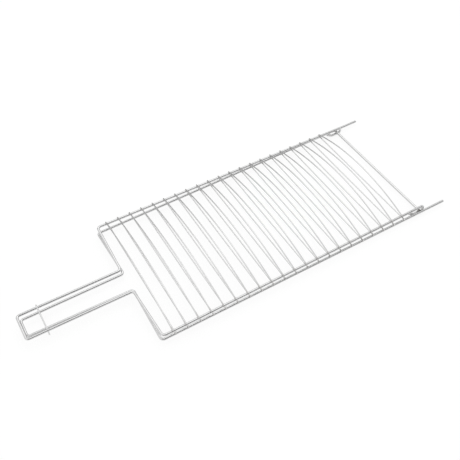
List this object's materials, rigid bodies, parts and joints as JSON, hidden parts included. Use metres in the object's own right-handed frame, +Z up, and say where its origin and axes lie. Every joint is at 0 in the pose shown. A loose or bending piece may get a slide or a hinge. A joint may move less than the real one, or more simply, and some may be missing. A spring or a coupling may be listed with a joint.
{
  "type": "fish grill basket",
  "caption": "Hinged long-handled basket of welded bright wire with a flat lower grid, an arched upper grid, wire eyes round a hinge bar and a sliding ring on the handles",
  "frame": {"origin": "middle of the bounding box, on the table", "axes": "+X from the handle to the hinge and the prongs, +Y across the basket, +Z up"},
  "size_m": [0.663, 0.2352, 0.035],
  "materials": {
    "frame_wire": "bright plated steel wire, lightly drawn",
    "cross_wire": "bright plated thin steel wire",
    "ring_wire": "bright plated thin steel wire, bent into a ring"
  },
  "bodies": {
    "lower": {"bottom_frame": "frame_wire", "hinge_bar": "frame_wire", "bottom_wire_01": "cross_wire", "bottom_wire_02": "cross_wire", "bottom_wire_03": "cross_wire", "bottom_wire_04": "cross_wire", "bottom_wire_05": "cross_wire", "bottom_wire_06": "cross_wire", "bottom_wire_07": "cross_wire", "bottom_wire_08": "cross_wire", "bottom_wire_09": "cross_wire", "bottom_wire_10": "cross_wire", "bottom_wire_11": "cross_wire", "bottom_wire_12": "cross_wire", "bottom_wire_13": "cross_wire", "bottom_wire_14": "cross_wire", "bottom_wire_15": "cross_wire", "bottom_wire_16": "cross_wire", "bottom_wire_17": "cross_wire", "bottom_wire_18": "cross_wire", "bottom_wire_19": "cross_wire", "bottom_wire_20": "cross_wire", "bottom_wire_21": "cross_wire"},
    "lid": {"top_frame": "frame_wire", "top_wire_01": "cross_wire", "top_wire_02": "cross_wire", "top_wire_03": "cross_wire", "top_wire_04": "cross_wire", "top_wire_05": "cross_wire", "top_wire_06": "cross_wire", "top_wire_07": "cross_wire", "top_wire_08": "cross_wire", "top_wire_09": "cross_wire", "top_wire_10": "cross_wire", "top_wire_11": "cross_wire", "top_wire_12": "cross_wire", "top_wire_13": "cross_wire", "top_wire_14": "cross_wire", "top_wire_15": "cross_wire", "top_wire_16": "cross_wire", "top_wire_17": "cross_wire", "top_wire_18": "cross_wire", "top_wire_19": "cross_wire", "top_wire_20": "cross_wire", "top_wire_21": "cross_wire"},
    "ring": {"clip_ring": "ring_wire"}
  },
  "joints": [
    {"name": "lid_hinge", "type": "hinge", "parent": "lower", "child": "lid", "pos_m": [0.286, 0, 0.00642], "axis": [0, 1, 0], "range_deg": [0, 164]},
    {"name": "ring_slide", "type": "slide", "parent": "lower", "child": "ring", "axis": [-1, 0, 0], "range_m": [-0.069, 0.058]}
  ]
}
